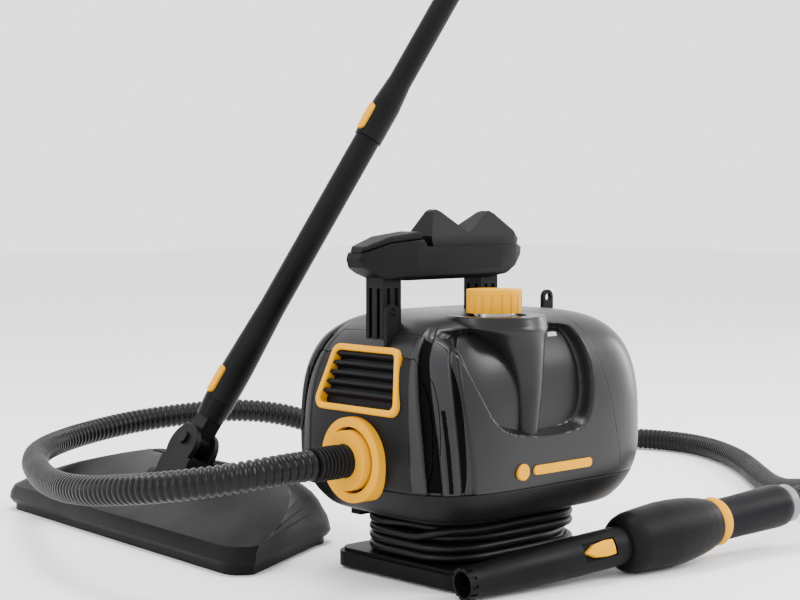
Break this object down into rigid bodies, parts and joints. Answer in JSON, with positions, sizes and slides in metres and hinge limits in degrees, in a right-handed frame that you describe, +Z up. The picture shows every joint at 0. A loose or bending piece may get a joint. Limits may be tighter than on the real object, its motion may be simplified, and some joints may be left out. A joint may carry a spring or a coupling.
{
  "type": "steam cleaner",
  "caption": "Canister steam cleaner on a cord-storage base with a ribbed hose, steam gun, hinged floor head and a two-piece wand.",
  "frame": {"origin": "centre of the canister's base on the floor", "axes": "+Z up; the hose leaves the canister towards -X; the filler and cap are on the -Y side"},
  "size_m": [1.0129, 0.7292, 0.7725],
  "materials": {
    "gloss_black": "gloss",
    "black_plastic": "fine texture",
    "dark_plastic": "satin",
    "yellow_plastic": "satin",
    "rubber": "matt",
    "cord_jacket": "satin",
    "hose_jacket": "ribbed",
    "steel": "brushed",
    "brass": "satin",
    "grey_plastic": "satin",
    "lens": "clear"
  },
  "bodies": {
    "machine": {"base_plate": "black_plastic", "rubber_mat": "rubber", "cord_spool": "black_plastic", "lower_pan": "black_plastic", "front_cover": "gloss_black", "flute_band": "gloss_black", "filler_side_shell": "gloss_black", "back_side_shell": "gloss_black", "rear_cover": "gloss_black", "filler_funnel": "dark_plastic", "filler_neck": "steel", "vent_bezel": "yellow_plastic", "vent_louvres": "dark_plastic", "outlet_ring": "yellow_plastic", "outlet_collar": "yellow_plastic", "hose_relief": "rubber", "handle_frame": "black_plastic", "gun_cradle": "black_plastic", "grip_pad": "dark_plastic", "strap_eyes": "black_plastic", "indicator_lens": "lens", "badge_plate": "yellow_plastic", "boiler": "steel", "boiler_bracket": "steel", "heating_element": "steel", "thermostat": "black_plastic", "steam_valve": "brass", "steam_pipe": "brass", "terminal_block": "black_plastic", "base_screws": "steel", "cord_gland": "black_plastic", "cord_lead": "cord_jacket", "cord_winding": "cord_jacket", "cord_tail": "cord_jacket", "mains_plug": "cord_jacket", "steam_hose": "hose_jacket", "gun_nozzle": "black_plastic", "gun_tip_ring": "black_plastic", "gun_body_left": "black_plastic", "gun_body_right": "black_plastic", "gun_ring": "yellow_plastic", "gun_grip": "dark_plastic", "gun_end_ring": "grey_plastic", "gun_steam_tube": "brass", "gun_switch": "black_plastic", "head_sole": "dark_plastic", "head_cover": "black_plastic", "head_grippers": "rubber", "pitch_pin": "steel"},
    "seal": {"cap_seal": "rubber"},
    "cap": {"filler_cap": "yellow_plastic"},
    "trigger": {"gun_trigger": "yellow_plastic"},
    "latch": {"gun_latch": "yellow_plastic"},
    "yoke": {"head_yoke": "black_plastic", "roll_pin": "steel"},
    "neck": {"wand_neck": "black_plastic"},
    "lower_tube": {"lower_wand": "black_plastic"},
    "lower_button": {"lower_wand_button": "yellow_plastic"},
    "upper_tube": {"upper_wand": "black_plastic"},
    "upper_button": {"upper_wand_button": "yellow_plastic"}
  },
  "joints": [
    {"name": "seal_lift", "type": "slide", "parent": "machine", "child": "seal", "axis": [0, 0, 1], "range_m": [0, 0.009]},
    {"name": "cap_turn", "type": "hinge", "parent": "seal", "child": "cap", "pos_m": [-0.036, -0.062, 0.244], "axis": [0, 0, 1], "range_deg": [0, 540]},
    {"name": "trigger_pull", "type": "hinge", "parent": "machine", "child": "trigger", "pos_m": [0.16357, -0.11387, 0.03371], "axis": [-0.0692, 0.009, 0.9976], "range_deg": [0, 8], "stiffness_Nm_per_rad": 0.5, "springref_deg": -6.88},
    {"name": "latch_slide", "type": "slide", "parent": "machine", "child": "latch", "axis": [0.9893, -0.1285, 0.0698], "range_m": [0, 0.003], "stiffness_N_per_m": 300, "springref_m": -0.002},
    {"name": "wand_pitch", "type": "hinge", "parent": "machine", "child": "yoke", "pos_m": [-0.10043, 0.31673, 0.047], "axis": [0.0698, 0.9976, 0], "range_deg": [-26.5, 15.5]},
    {"name": "wand_roll", "type": "hinge", "parent": "yoke", "child": "neck", "pos_m": [-0.07882, 0.31522, 0.0853], "axis": [0.8682, -0.0607, -0.4924], "range_deg": [-30.5, 12]},
    {"name": "lower_pull", "type": "slide", "parent": "neck", "child": "lower_tube", "axis": [0.473, -0.1985, 0.8584], "range_m": [0, 0.045]},
    {"name": "lower_press", "type": "slide", "parent": "lower_tube", "child": "lower_button", "axis": [0.8682, -0.0607, -0.4924], "range_m": [0, 0.0012], "stiffness_N_per_m": 400, "springref_m": -0.0015},
    {"name": "upper_pull", "type": "slide", "parent": "lower_tube", "child": "upper_tube", "axis": [0.473, -0.1985, 0.8584], "range_m": [0, 0.045]},
    {"name": "upper_press", "type": "slide", "parent": "upper_tube", "child": "upper_button", "axis": [0.8682, -0.0607, -0.4924], "range_m": [0, 0.0012], "stiffness_N_per_m": 400, "springref_m": -0.0015}
  ],
  "couplings": [
    {"joint": "seal_lift", "follows": "cap_turn", "m_per_rad": 0.00095493}
  ]
}
